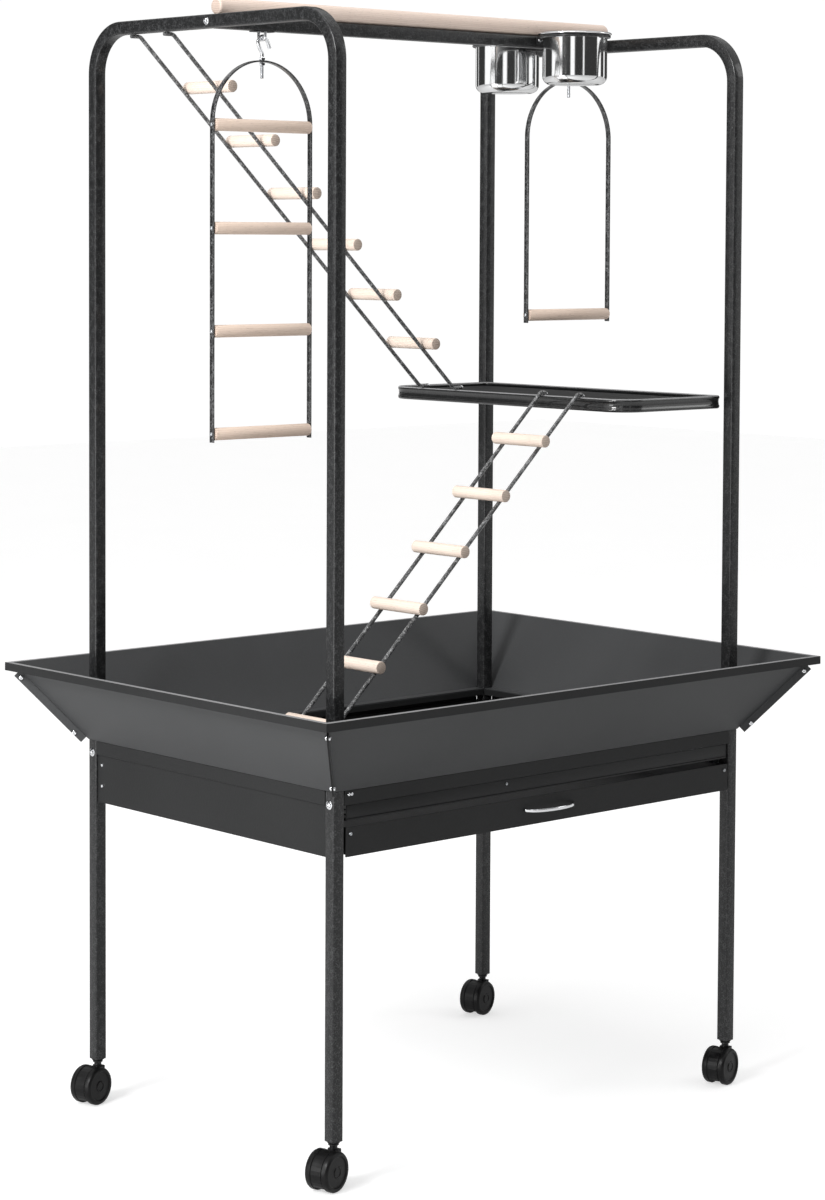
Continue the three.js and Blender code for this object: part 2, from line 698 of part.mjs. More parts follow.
function addHanging(name, spec) {
  const hanging = new THREE.Group();
  hanging.position.x = spec.x;
  add(`${name}_arch`, hangingArch(spec), hammered, hanging);
  add(`${name}_hook`, hangingHook(spec), chrome, hanging);
  spec.rungs.forEach((z, i) => {
    add(`${name}_rung_${i + 1}`, plainRung(), wood, hanging).position.z = z;
  });
  group.add(hanging);
}
addHanging('hanging_ladder', HANGING_LADDER);
addHanging('swing', SWING);

for (const [depth, y] of DEPTHS) {
  const top = BOWL_TOP[depth];
  add(`${depth}_bowl`, bowl(), stainless).position.set(BOWL_X, y * BOWL_Y, top);
  const holder = add(`${depth}_bowl_holder`, bowlHolder(top), hammered);
  holder.position.set(BOWL_X, y * BOWL_Y, 0);
  holder.rotation.z = y > 0 ? Math.PI : 0;
}

export default group;
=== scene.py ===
# %% [markdown]
# # Parrot play stand
#
# An open floor stand for large parrots. Two square-tube arches rise from a steel base, a wooden perch lies
# along the bar between them, and ladders, a swing, a platform and two bowls hang from or lean on the frame.
# A flared skirt catches seed and drops it through a grate into a drawer. Everything rolls on four casters.
#
# Lengths are in metres, +X runs along the long side, the drawer faces -Y and +Z is up.

# %% Load the frame
import math

import bmesh
import bpy
from mathutils import Matrix, Vector


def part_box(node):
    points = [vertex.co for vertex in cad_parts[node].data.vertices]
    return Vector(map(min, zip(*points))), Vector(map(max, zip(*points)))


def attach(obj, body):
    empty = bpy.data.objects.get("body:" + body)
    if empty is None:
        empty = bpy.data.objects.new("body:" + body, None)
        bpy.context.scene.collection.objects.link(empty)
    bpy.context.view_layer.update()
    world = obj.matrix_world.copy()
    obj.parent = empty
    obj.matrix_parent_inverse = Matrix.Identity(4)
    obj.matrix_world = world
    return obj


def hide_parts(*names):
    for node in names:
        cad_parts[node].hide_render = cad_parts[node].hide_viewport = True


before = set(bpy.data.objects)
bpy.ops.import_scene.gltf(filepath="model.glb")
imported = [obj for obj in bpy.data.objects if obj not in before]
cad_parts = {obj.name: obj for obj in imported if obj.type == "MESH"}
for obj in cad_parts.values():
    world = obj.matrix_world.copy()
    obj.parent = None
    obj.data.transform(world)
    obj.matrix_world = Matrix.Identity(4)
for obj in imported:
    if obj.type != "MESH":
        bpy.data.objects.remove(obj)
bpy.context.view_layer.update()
MM = 0.001
GAP = 0.3 * MM  # left between parts that touch
ANY_SPIN = 6.28  # a copy may be turned any way about its own axis
CREASE = 35  # degrees; sharper edges than this aren't smoothed over
X, Y, Z = Vector((1, 0, 0)), Vector((0, 1, 0)), Vector((0, 0, 1))


def middle(node):
    low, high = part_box(node)
    return (low + high) / 2


# %% [markdown]
# ## Shader arithmetic
#
# A finish is a few patterns added, multiplied and mixed. Wiring each sum by hand hides the formula, so a
# small class wraps a socket and turns Python's operators into Math nodes. One method makes every other node.

# %% Helpers for finishes
class Number:
    def __init__(self, look, socket):
        self.look, self.socket = look, socket

    def do(self, operation, *values):
        return self.look.number("ShaderNodeMath", {"operation": operation}, dict(enumerate(values)))

    def __add__(self, other):
        return self.do("ADD", self, other)

    def __mul__(self, other):
        return self.do("MULTIPLY", self, other)

    def __sub__(self, other):
        return self.do("SUBTRACT", self, other)

    def __rsub__(self, other):
        return self.do("SUBTRACT", other, self)

    def __abs__(self):
        return self.do("ABSOLUTE", self)

    __radd__ = __add__
    __rmul__ = __mul__

    def step(self, low, high):
        """0 below low, 1 above high, and smooth between them."""
        return self.look.number("ShaderNodeMapRange", {"interpolation_type": "SMOOTHSTEP"},
                                {0: self, 1: low, 2: high, 3: 0.0, 4: 1.0})


class Nodes:
    def __init__(self, tree):
        self.tree = tree

    def node(self, kind, settings, inputs):
        made = self.tree.nodes.new(kind)
        for key, value in settings.items():
            setattr(made, key, value)
        for key, value in inputs.items():
            self.put(made.inputs[key], value)
        return made

    def put(self, socket, value):
        value = value.socket if isinstance(value, Number) else value
        if isinstance(value, bpy.types.NodeSocket):
            self.tree.links.new(value, socket)
        else:
            socket.default_value = value

    def number(self, kind, settings, inputs):
        return Number(self, self.node(kind, settings, inputs).outputs[0])

    def across(self, scale):
        """Object coordinates, stretched along each axis."""
        place = self.node("ShaderNodeTexCoord", {}, {}).outputs["Object"]
        return self.node("ShaderNodeMapping", {}, {"Vector": place, "Scale": scale}).outputs[0]

    def noise(self, where, scale, detail=3.0, distortion=0.0):
        return self.number("ShaderNodeTexNoise", {}, {
            "Vector": where, "Scale": scale, "Detail": detail, "Distortion": distortion})

    def cells(self, where, scale, feature="SMOOTH_F1"):
        return self.number("ShaderNodeTexVoronoi", {"feature": feature}, {"Vector": where, "Scale": scale})

    def mix(self, factor, first, second):
        mixed = self.node("ShaderNodeMix", {"data_type": "RGBA"}, {})
        self.put(mixed.inputs[0], factor)
        for socket, value in ((6, first), (7, second)):
            self.put(mixed.inputs[socket], (*value, 1) if isinstance(value, tuple) else value)
        return mixed.outputs[2]


class Look(Nodes):
    def __init__(self, name, slot, **fixed):
        self.slot = slot
        self.material = bpy.data.materials.new(name)
        self.material.use_nodes = True
        super().__init__(self.material.node_tree)
        self.surface = self.tree.nodes["Principled BSDF"]
        for key, value in fixed.items():
            self.surface.inputs[key.replace("_", " ")].default_value = value

    def show(self, color, roughness, height, distance, strength=1.0):
        self.put(self.surface.inputs["Base Color"], color)
        self.put(self.surface.inputs["Roughness"], roughness)
        bump = self.node("ShaderNodeBump", {}, {"Height": height, "Distance": distance, "Strength": strength})
        self.put(self.surface.inputs["Normal"], bump.outputs[0])
        print("finish", self.material.name, "uses", len(self.tree.nodes), "nodes")
        return self


# %% [markdown]
# ## Coated steel
#
# The tubes wear a hammered powder coat: near black, with a fine net of lighter veins and shallow dimples a
# few millimetres across. Smooth cells give the dimples and the edges between cells give the veins. The
# sheet parts wear a plainer satin coat with orange peel, lighter and a little dusty.

# %% Hammered and satin coats
def hammered_coat(name, dark, pale, **fixed):
    look = Look(name, "hammered_coating", IOR=1.5, Specular_IOR_Level=0.26, Coat_Roughness=0.1, **fixed)
    here = look.across((1, 1, 1))
    dimples = look.cells(here, 330)
    veins = 1 - look.cells(here, 230, "DISTANCE_TO_EDGE").step(0.02, 0.2)
    cloud = look.noise(here, 130, 3)
    fleck = look.noise(here, 520, 2).step(0.57, 0.68)
    light = veins * cloud.step(0.42, 0.62) * 0.45 + fleck * 0.55
    color = look.mix(light, dark, pale)
    return look.show(color, 0.3 + cloud * 0.2, dimples + veins * 0.3 + fleck * 0.25, 0.35 * MM, 0.8)


def satin_coat(name, dark, pale, **fixed):
    look = Look(name, "coated_sheet", IOR=1.46, Coat_Weight=0.08, Coat_Roughness=0.35, **fixed)
    here = look.across((1, 1, 1))
    peel = look.noise(here, 300, 2)
    cloud = look.noise(here, 4, 3)
    dust = look.noise(here, 700, 2).step(0.58, 0.7)
    color = look.mix(cloud * 0.6 + dust * 0.3, dark, pale)
    return look.show(color, 0.5 + cloud * 0.12 + dust * 0.1, peel, 0.3 * MM, 0.6)


HAMMERED = hammered_coat("hammered_coat", (0.008, 0.0083, 0.0087), (0.062, 0.063, 0.065), Coat_Weight=0.35)
GLOSSY = hammered_coat("glossy_coat", (0.004, 0.0042, 0.0045), (0.02, 0.0205, 0.021), Coat_Weight=1.0)
# Ladder wires: the hammered pattern with much paler veins and flecks than the tubes. It is partly the coat's own
# pattern and partly a painted highlight for the bright sheen of the round wires.
ROD_COAT_AND_PAINTED_HIGHLIGHT = hammered_coat("hammered_rod_and_painted_highlight", (0.045, 0.046, 0.047), (0.46, 0.465, 0.47), Coat_Weight=1.0)
STRAP_COAT = hammered_coat("hammered_strap", (0.008, 0.0083, 0.0086), (0.2, 0.203, 0.206), Coat_Weight=1.0)
SHEET = satin_coat("satin_sheet", (0.03, 0.031, 0.0325), (0.075, 0.077, 0.079), Specular_IOR_Level=0.38)
DARK_SHEET = satin_coat("dark_sheet", (0.009, 0.0093, 0.0097), (0.027, 0.0275, 0.028),
                        Specular_IOR_Level=0.26)
# Painted highlight: a light grey coat on the top faces of the platform rim and the skirt hem, where the rounded
# edges catch the lights from above.
PAINTED_HIGHLIGHT_EDGE = satin_coat("painted_highlight_edge", (0.22, 0.22, 0.225), (0.36, 0.36, 0.365))

# %% [markdown]
# ## Wood
#
# The rungs and the perch are turned beech. Rings run through the whole dowel, so a side shows long straight
# grain and an end shows arcs; short darker pores lie along the grain. The grain direction is the only thing
# that differs between dowels, apart from the perch, which is pinker and has faint knots.

# %% Beech dowels
def beech(name, axis, pale, deep, knots):
    look = Look(name, "natural_wood", IOR=1.45, Specular_IOR_Level=0.35)
    along = "XYZ".index(axis)

    def stretch(fine, long):
        return tuple(long if i == along else fine for i in range(3))

    rings = look.number("ShaderNodeTexWave", {"wave_type": "RINGS", "rings_direction": axis}, {
        "Vector": look.across(stretch(1, 0.3)), "Scale": 120.0, "Distortion": 5.0, "Detail": 2.0,
        "Detail Scale": 0.4})
    grain = look.noise(look.across(stretch(420, 9)), 1, 4)
    pores = look.noise(look.across(stretch(1500, 110)), 1, 2).step(0.6, 0.72)
    patch = look.noise(look.across((1, 1, 1)), 11, 2).step(0.35, 0.7)
    knot = 1 - look.cells(look.across(stretch(22, 9)), 1, "F1").step(0.05, 0.2)
    tone = look.mix(rings * 0.35 + grain * 0.55, pale, deep)
    tone = look.mix(patch * 0.3, tone, tuple(v * 0.93 for v in pale))
    tone = look.mix(pores * 0.4 + knot * knots, tone, tuple(v * 0.45 for v in deep))
    facing = look.node("ShaderNodeTexCoord", {}, {}).outputs["Normal"]
    ends = Number(look, look.node("ShaderNodeSeparateXYZ", {}, {0: facing}).outputs[along])
    tone = look.mix((ends * ends).step(0.55, 0.9) * (0.45 + rings * 0.3), tone, tuple(v * 0.5 for v in deep))
    return look.show(tone, 0.5 + grain * 0.2, grain * 0.7 - pores, 0.12 * MM, 0.5)


RUNG_X = beech("beech_along_x", "X", (0.86, 0.71, 0.6), (0.69, 0.52, 0.415), 0.0)
RUNG_Y = beech("beech_along_y", "Y", (0.87, 0.745, 0.65), (0.69, 0.55, 0.455), 0.0)
PERCH = beech("beech_perch", "X", (0.9, 0.76, 0.67), (0.68, 0.52, 0.43), 0.5)

# %% [markdown]
# ## Bright metal and plastic
#
# Polished stainless for the bowls, plating for the hooks, handle and screws, dull zinc for the runners, and
# moulded nylon for the casters. Bright metal is mostly its surroundings, so its own detail is faint: fine
# circular polishing lines, a soft change in gloss and small marks.

# %% Metals and nylon
def bright(name, slot, color, gloss, lines, scale):
    look = Look(name, slot, Metallic=1.0)
    polish = look.noise(look.across(scale), 1, 3)
    cloud = look.noise(look.across((1, 1, 1)), 30, 3)
    marks = look.noise(look.across((1, 1, 1)), 240, 3, 1.5).step(0.62, 0.7)
    tone = look.mix(cloud * 0.5 + marks * 0.3, color, tuple(v * 0.82 for v in color))
    return look.show(tone, gloss + cloud * 0.06 + marks * 0.08, polish, lines, 0.3)


def nylon():
    look = Look("black_nylon", "black_plastic", IOR=1.5, Specular_IOR_Level=0.25)
    here = look.across((1, 1, 1))
    spark = look.noise(here, 1500, 2)
    scuff = look.noise(here, 90, 4).step(0.5, 0.8)
    color = look.mix(scuff, (0.0025, 0.0025, 0.0027), (0.009, 0.009, 0.0095))
    return look.show(color, 0.36 + scuff * 0.2, spark, 0.05 * MM, 0.5)


STAINLESS = bright("polished_stainless", "polished_stainless", (0.9, 0.905, 0.91), 0.05, 0.02 * MM,
                   (60, 60, 2500))
CHROME = bright("bright_plating", "chrome", (0.84, 0.85, 0.87), 0.06, 0.02 * MM, (300, 300, 300))
ZINC = bright("dull_zinc", "zinc_plate", (0.5, 0.52, 0.54), 0.32, 0.08 * MM, (200, 200, 200))
BLACK_NYLON = nylon()

# %% [markdown]
# ## Shaping tools
#
# Nearly every part of the stand is bent bar, so the main tool carries a cross-section along a flat path.
# Turned parts come from a profile, and folded sheet parts keep the frame's faces and get small round folds.

# %% Helpers for shapes
def circle(radius, sides):
    turns = (2 * math.pi * i / sides for i in range(sides))
    return [(radius * math.cos(t), radius * math.sin(t)) for t in turns]


def rounded_rect(width, height, radius, steps=4):
    points = []
    for corner, (sx, sy) in enumerate(((1, 1), (-1, 1), (-1, -1), (1, -1))):
        for i in range(steps + 1):
            turn = math.pi / 2 * (corner + i / steps)
            points.append((sx * (width / 2 - radius) + radius * math.cos(turn),
                           sy * (height / 2 - radius) + radius * math.sin(turn)))
    return points


def rounded(corners, radius, steps=10, closed=False):
    """A path with straight runs between corner points and a round bend at each."""
    corners = [Vector(corner) for corner in corners]
    path = []
    for i, corner in enumerate(corners):
        if not closed and i in (0, len(corners) - 1):
            path.append(corner)
            continue
        before = (corner - corners[i - 1]).normalized()
        after = (corners[(i + 1) % len(corners)] - corner).normalized()
        turn, axis = before.angle(after), before.cross(after).normalized()
        bend = radius[i] if isinstance(radius, list) else radius
        start = corner - before * bend * math.tan(turn / 2)
        centre = start + axis.cross(before) * bend
        path += [centre + Matrix.Rotation(turn * k / steps, 3, axis) @ (start - centre)
                 for k in range(steps + 1)]
    return path


def flowing(points, steps=8):
    """A smooth path through every point."""
    points = [Vector(point) for point in points]
    ends = [2 * points[0] - points[1], *points, 2 * points[-1] - points[-2]]
    path = []
    for a, b, c, d in zip(ends, ends[1:], ends[2:], ends[3:]):
        for i in range(steps):
            t = i / steps
            path.append(0.5 * (2 * b + (c - a) * t + (2 * a - 5 * b + 4 * c - d) * t * t
                               + (3 * b - a - 3 * c + d) * t ** 3))
    return [*path, points[-1]]


def sweep(bm, section, path, normal, closed=False):
    """Section points are (along the normal, out from the path's left side)."""
    rings, last = [], len(path) - 1
    for i, point in enumerate(path):
        before = path[i - 1] if i or closed else point
        after = path[(i + 1) % len(path)] if i < last or closed else point
        side = normal.cross((after - before).normalized())
        rings.append([bm.verts.new(point + normal * a + side * b) for a, b in section])
    pairs = list(zip(rings, rings[1:])) + ([(rings[-1], rings[0])] if closed else [])
    for first, second in pairs:
        for j in range(len(section)):
            k = (j + 1) % len(section)
            bm.faces.new((first[j], first[k], second[k], second[j]))
    if not closed:
        bm.faces.new(rings[0])
        bm.faces.new(rings[-1])


def lathe(bm, profile, centre, axis, steps=48):
    """Profile points are (radius, distance along the axis); radius 0 closes an end."""
    u = axis.orthogonal().normalized()
    v = axis.cross(u)
    rings = []
    for radius, along in profile:
        base = Vector(centre) + axis * along
        turns = [2 * math.pi * i / steps for i in range(steps)] if radius else [0]
        rings.append([bm.verts.new(base + (u * math.cos(t) + v * math.sin(t)) * radius) for t in turns])
    for a, b in zip(rings, rings[1:]):
        for i in range(steps):
            j = (i + 1) % steps
            corners = [a[i % len(a)], a[j % len(a)], b[j % len(b)], b[i % len(b)]]
            bm.faces.new(list(dict.fromkeys(corners)))


def slab(bm, low, high, edge):
    """A block with small round edges."""
    corners = [bm.verts.new((x, y, z)) for x in (low[0], high[0]) for y in (low[1], high[1])
               for z in (low[2], high[2])]
    faces = [bm.faces.new([corners[i] for i in ring]) for ring in (
        (0, 1, 3, 2), (4, 6, 7, 5), (0, 4, 5, 1), (2, 3, 7, 6), (0, 2, 6, 4), (1, 5, 7, 3))]
    edges = list({side for face in faces for side in face.edges})
    bmesh.ops.bevel(bm, geom=edges, offset=edge, segments=2, profile=0.5, affect="EDGES")


def piece(name, bm, look, body, nodes=(), crease=CREASE, parts=()):
    """parts are (look, test of a face) pairs, for the faces that wear another finish."""
    bmesh.ops.recalc_face_normals(bm, faces=bm.faces)
    mesh = bpy.data.meshes.new(name)
    if crease:
        for face in bm.faces:
            face.smooth = True
    bm.to_mesh(mesh)
    bm.free()
    if crease:
        mesh.set_sharp_from_angle(angle=math.radians(crease))
    mesh.materials.append(look.material)
    for part, (extra, belongs) in enumerate(parts, 1):
        mesh.materials.append(extra.material)
        for face in mesh.polygons:
            if belongs(face):
                face.material_index = part
    made = bpy.data.objects.new(name, mesh)
    bpy.context.scene.collection.objects.link(made)
    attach(made, body)
    if nodes:
        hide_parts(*nodes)
    print(name, len(mesh.polygons), "faces")
    return made


FUSED = 0.2 * MM  # points closer than this are one
FOLD_ANGLE = 25  # degrees


def folded(node, look, body, edge=0.5 * MM, parts=(), step=0.0):
    """A frame part with its folds and cut edges rounded, except where they end at a smaller step."""
    bm = bmesh.new()
    bm.from_mesh(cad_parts[node].data)
    bmesh.ops.remove_doubles(bm, verts=bm.verts, dist=FUSED)
    bmesh.ops.dissolve_limit(bm, angle_limit=math.radians(1), verts=bm.verts, edges=bm.edges)
    narrow = {end for e in bm.edges if e.calc_length() < step for end in e.verts}
    corners = [e for e in bm.edges
               if len(e.link_faces) == 2 and e.calc_face_angle() > math.radians(FOLD_ANGLE)
               and not narrow.intersection(e.verts)]
    made = bmesh.ops.bevel(bm, geom=corners, offset=edge, segments=2, profile=0.5, affect="EDGES",
                           clamp_overlap=True)
    for face in made["faces"]:
        face.smooth = True
    return piece(node + "_sheet", bm, look, body, [node], crease=0, parts=parts)


# %% [markdown]
# ## Repeats
#
# Rungs, screws, grate bars, legs and their sockets repeat one shape, so Geometry Nodes place them: a copy at each
# point, with its +Z turned to the point's own direction and, where wanted, a seeded random spin.

# %% A scatter built from Geometry Nodes
def scatter_tree():
    tree = bpy.data.node_groups.new("copies_at_points", "GeometryNodeTree")

    def add(kind, **settings):
        node = tree.nodes.new(kind)
        for key, value in settings.items():
            setattr(node, key, value)
        return node

    for name, kind in (("Geometry", "NodeSocketGeometry"), ("Shape", "NodeSocketObject"),
                       ("Size", "NodeSocketFloat"), ("Spin", "NodeSocketFloat"),
                       ("Seed", "NodeSocketInt"), ("Finish", "NodeSocketMaterial")):
        tree.interface.new_socket(name, in_out="INPUT", socket_type=kind)
    tree.interface.new_socket("Geometry", in_out="OUTPUT", socket_type="NodeSocketGeometry")
    given = tree.nodes.new("NodeGroupInput")
    result = tree.nodes.new("NodeGroupOutput")
    facing = add("GeometryNodeInputNamedAttribute", data_type="FLOAT_VECTOR")
    facing.inputs["Name"].default_value = "facing"
    turn = add("FunctionNodeAlignRotationToVector", axis="Z")
    spin = add("FunctionNodeRandomValue", data_type="FLOAT")
    around = tree.nodes.new("FunctionNodeAxisAngleToRotation")
    around.inputs["Axis"].default_value = (0, 0, 1)
    both = add("FunctionNodeRotateRotation", rotation_space="LOCAL")
    shape = add("GeometryNodeObjectInfo", transform_space="ORIGINAL")
    copies = tree.nodes.new("GeometryNodeInstanceOnPoints")
    solid = tree.nodes.new("GeometryNodeRealizeInstances")
    coat = tree.nodes.new("GeometryNodeSetMaterial")
    for source, target in (
            (facing.outputs["Attribute"], turn.inputs["Vector"]),
            (given.outputs["Spin"], spin.inputs[3]), (given.outputs["Seed"], spin.inputs["Seed"]),
            (spin.outputs[1], around.inputs["Angle"]), (turn.outputs[0], both.inputs["Rotation"]),
            (around.outputs[0], both.inputs["Rotate By"]), (given.outputs["Shape"], shape.inputs["Object"]),
            (given.outputs["Geometry"], copies.inputs["Points"]), (shape.outputs["Geometry"],
                                                                  copies.inputs["Instance"]),
            (both.outputs[0], copies.inputs["Rotation"]), (given.outputs["Size"], copies.inputs["Scale"]),
            (copies.outputs[0], solid.inputs[0]), (solid.outputs[0], coat.inputs["Geometry"]),
            (given.outputs["Finish"], coat.inputs["Material"]), (coat.outputs[0], result.inputs[0])):
        tree.links.new(source, target)
    return tree


SCATTER = scatter_tree()


def shape(bm):
    bmesh.ops.recalc_face_normals(bm, faces=bm.faces)
    for face in bm.faces:
        face.smooth = True
    mesh = bpy.data.meshes.new("shape")
    bm.to_mesh(mesh)
    bm.free()
    mesh.set_sharp_from_angle(angle=math.radians(CREASE))
    return bpy.data.objects.new("shape", mesh)


def copies(name, model, places, look, body, nodes=(), spin=0.0, size=1.0):
    """places are (point, direction) pairs."""
    points = bpy.data.meshes.new(name)
    points.from_pydata([tuple(point) for point, _ in places], [], [])
    facing = points.attributes.new("facing", "FLOAT_VECTOR", "POINT")
    facing.data.foreach_set("vector", [v for _, way in places for v in way])
    holder = bpy.data.objects.new(name, points)
    bpy.context.scene.collection.objects.link(holder)
    modifier = holder.modifiers.new("copies", "NODES")
    modifier.node_group = SCATTER
    values = {"Shape": model, "Size": size, "Spin": spin, "Seed": 7, "Finish": look.material}
    for item in SCATTER.interface.items_tree:
        if item.in_out == "INPUT" and item.name in values:
            modifier[item.identifier] = values[item.name]
    ready = holder.evaluated_get(bpy.context.evaluated_depsgraph_get())
    mesh = bpy.data.meshes.new_from_object(ready)
    bpy.data.objects.remove(holder)
    mesh.name = name
    made = bpy.data.objects.new(name, mesh)
    bpy.context.scene.collection.objects.link(made)
    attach(made, body)
    if nodes:
        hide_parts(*nodes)
    print(name, len(places), "copies,", len(mesh.polygons), "faces")
    return made


# %% [markdown]
# ## Arches, crossbar and legs
#
# Each arch is one length of square tube bent twice to a tight radius. The crossbar is the same tube, with a
# welded strap and a staple of round wire for each thing that hangs from it. A leg is a straight length with a
# plastic socket pushed into its foot.

# %% Tubes
low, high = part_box("left_arch_frame")
TUBE = high.x - low.x
HALF = TUBE / 2
BAR_Z = high.z - HALF
POST_Y = high.y - HALF
POST_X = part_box("right_arch_frame")[1].x - HALF
BASE_TOP = low.z
TUBE_CORNER, ARCH_BEND = 2.6 * MM, 65 * MM
tube = rounded_rect(TUBE, TUBE, TUBE_CORNER)

for end, x in (("left", -POST_X), ("right", POST_X)):
    bm = bmesh.new()
    corners = [(x, -POST_Y, BASE_TOP), (x, -POST_Y, BAR_Z), (x, POST_Y, BAR_Z), (x, POST_Y, BASE_TOP)]
    sweep(bm, tube, rounded(corners, ARCH_BEND, 20), X)
    piece(f"{end}_arch_tube", bm, HAMMERED, "stand", [f"{end}_arch_frame"])

low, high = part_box("top_crossbar")
BAR_UNDER = BAR_Z - HALF
bm = bmesh.new()
sweep(bm, tube, [Vector((low.x, 0, BAR_Z)), Vector((high.x, 0, BAR_Z))], Y)
HOOK_OFFSET = 3.5 * MM  # from the staple to the middle of the hook
EYES = [middle(hook).x - HOOK_OFFSET for hook in ("hanging_ladder_hook", "swing_hook")]
for x in EYES:
    slab(bm, (x - 18 * MM, -7 * MM, BAR_UNDER - 1.6 * MM), (x + 18 * MM, 7 * MM, BAR_UNDER + 0.1 * MM),
         0.5 * MM)
piece("crossbar_tube", bm, HAMMERED, "stand", ["top_crossbar"])

bm = bmesh.new()
for x in EYES:
    top, drop = BAR_UNDER - 0.8 * MM, BAR_UNDER - 12.5 * MM
    staple = [(x, -7.5 * MM, top), (x, -7.5 * MM, drop), (x, 7.5 * MM, drop), (x, 7.5 * MM, top)]
    sweep(bm, circle(2 * MM, 16), rounded(staple, 5 * MM, 8), X)
piece("hanging_staples", bm, CHROME, "stand")

LEGS = [(depth, end, sx * POST_X, sy * POST_Y) for depth, sy in (("front", -1), ("rear", 1))
        for end, sx in (("left", -1), ("right", 1))]
low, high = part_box("front_left_leg")
LEG_FOOT = low.z
bm = bmesh.new()
sweep(bm, tube, [Vector((0, 0, 0)), Vector((0, 0, high.z - LEG_FOOT))], X)
copies("leg_tubes", shape(bm), [(Vector((x, y, LEG_FOOT)), Z) for _, _, x, y in LEGS], HAMMERED, "stand",
       [f"{depth}_{end}_leg" for depth, end, _, _ in LEGS])
bm = bmesh.new()
lathe(bm, [(0, 0), (8.6 * MM, 0), (9 * MM, -0.5 * MM), (9 * MM, -1.6 * MM), (8.2 * MM, -2.2 * MM),
           (0, -2.2 * MM)], (0, 0, 0), Z, 32)
copies("leg_sockets", shape(bm), [(Vector((x, y, LEG_FOOT)), Z) for _, _, x, y in LEGS], BLACK_NYLON, "stand")

# %% [markdown]
# ## Wooden dowels
#
# All rungs are one dowel with a small chamfer at each end, placed by the repeat tool. The perch is thicker,
# with rounder ends, and rests on the crossbar.

# %% Rungs and perch
def dowel(radius, half, edge):
    bm = bmesh.new()
    lathe(bm, [(0, -half), (radius - edge, -half), (radius - 0.35 * edge, edge * 0.3 - half),
               (radius, edge - half), (radius, 0), (radius, half - edge), (radius - 0.35 * edge, half - edge * 0.3),
               (radius - edge, half), (0, half)], (0, 0, 0), Z, 40)
    return shape(bm)


def rungs_of(prefix, body, look, way):
    nodes = sorted(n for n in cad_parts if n.startswith(prefix + "_rung"))
    low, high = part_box(nodes[0])
    length = max(high - low)
    copies(prefix + "_dowels", dowel((high.z - low.z) / 2, length / 2, 0.9 * MM),
           [(middle(node), way) for node in nodes], look, body, nodes, spin=ANY_SPIN)


rungs_of("upper_ladder", "stand", RUNG_Y, Y)
rungs_of("lower_ladder", "lower_ladder", RUNG_Y, Y)
rungs_of("hanging_ladder", "hanging_ladder", RUNG_X, X)
rungs_of("swing", "swing", RUNG_X, X)

low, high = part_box("top_perch")
bm = bmesh.new()
radius, end = (high.z - low.z) / 2, high.x
profile = [(0, end), *[(radius - 4 * MM + 4 * MM * math.sin(t), end - 4 * MM + 4 * MM * math.cos(t))
                       for t in (math.pi / 2 * i / 5 for i in range(6))]]
lathe(bm, [*profile, *[(r, -a) for r, a in reversed(profile)]], (0, 0, middle("top_perch").z), X, 48)
piece("perch_dowel", bm, PERCH, "stand", ["top_perch"])

# %% [markdown]
# ## Ladder wires
#
# Two round wires run under each ladder's rungs. The upper ladder's wires bend flat under the arch at the top
# and flat on the platform's rim at the foot. The lower ladder's wires hook over the rim from outside.

# %% Ladder wires
WIRE = 3 * MM
RUNG = (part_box("upper_ladder_rung_1")[1].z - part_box("upper_ladder_rung_1")[0].z) / 2
RIM_LOW, RIM_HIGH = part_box("platform")


def ladder_line(prefix):
    first, last = middle(prefix + "_rung_1"), middle(prefix + "_rung_6")
    along = (last - first).normalized()
    below = Vector((along.z, 0, -along.x)) if along.x > 0 else Vector((-along.z, 0, along.x))
    start = first + below * (RUNG + WIRE + GAP)
    return (lambda z: start.x + along.x * (z - start.z) / along.z,
            lambda x: start.z + along.z * (x - start.x) / along.x)


def wire_cap():
    bm = bmesh.new()
    lathe(bm, [(0, -1.5 * MM), (3.2 * MM, -1.5 * MM), (3.5 * MM, -0.6 * MM), (3.4 * MM, 0.8 * MM),
               (2.4 * MM, 1.9 * MM), (0, 2.3 * MM)], (0, 0, 0), Z, 16)
    return shape(bm)


def wire_piece(node, corners, bend, body):
    end, before = Vector(corners[-1]), Vector(corners[-2])
    copies(node + "_cap", wire_cap(), [(end, (end - before).normalized())], CHROME, body)
    bm = bmesh.new()
    sweep(bm, circle(WIRE, 16), rounded(corners, bend, 8), Y)
    # The rod coat's pale flecks are partly a painted highlight.
    piece(node + "_rod", bm, ROD_COAT_AND_PAINTED_HIGHLIGHT, body, [node])


x_at, _ = ladder_line("upper_ladder")
for side in ("front", "rear"):
    node = f"upper_ladder_{side}_wire"
    (low, high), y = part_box(node), middle(f"upper_ladder_{side}_wire").y
    top, foot = high.z - WIRE, low.z + WIRE
    wire_piece(node, [(low.x, y, top), (x_at(top), y, top), (x_at(foot), y, foot), (high.x, y, foot)],
               9 * MM, "stand")
x_at, z_at = ladder_line("lower_ladder")
for side in ("front", "rear"):
    node = f"lower_ladder_{side}_wire"
    (low, high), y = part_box(node), middle(f"lower_ladder_{side}_wire").y
    top = high.z - WIRE
    pivot = Vector((RIM_LOW.x + 2.5 * MM, y, RIM_HIGH.z - 2 * MM))
    reach, tip = top - pivot.z, math.radians(35)
    foot = low.x + WIRE * 0.7
    wire_piece(node, [
        (foot, y, z_at(foot)), (x_at(top), y, top),
        (pivot.x + reach * math.tan((math.pi / 2 - tip) / 2), y, top),
        (pivot.x + reach * math.cos(tip), y, pivot.z + reach * math.sin(tip))], 5.5 * MM, "lower_ladder")

# %% [markdown]
# ## Hanging ladder and swing
#
# A flat bar bent to a round top carries the rungs; each rung is held by a screw through the bar. The arch
# hangs on a hook whose threaded end has a nut above and below the bar.

